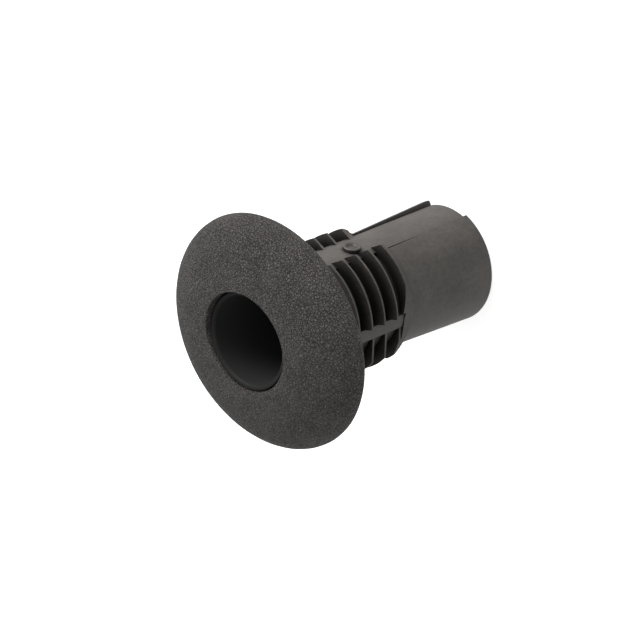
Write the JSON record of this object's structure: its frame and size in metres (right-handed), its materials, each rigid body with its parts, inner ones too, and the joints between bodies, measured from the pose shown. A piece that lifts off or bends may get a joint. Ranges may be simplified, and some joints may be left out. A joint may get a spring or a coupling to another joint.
{
  "type": "desk grommet",
  "caption": "Push-in desk grommet with a domed grained flange, a ribbed barrel with flared tail cheeks and a smooth bore liner.",
  "frame": {"origin": "centre of the barrel's bore at the end of its tail, which is the lowest point of the part", "axes": "+Z along the bore from the tail to the flange, +Y towards the smooth land that carries the button"},
  "size_m": [0.06, 0.0598, 0.0722],
  "materials": {
    "grained_plastic": "fine leather grain",
    "moulded_plastic": "plain moulded, satin",
    "smooth_plastic": "smooth satin"
  },
  "bodies": {
    "root": {"trim_flange": "grained_plastic", "ribbed_barrel": "moulded_plastic", "bore_liner": "smooth_plastic"}
  },
  "joints": []
}
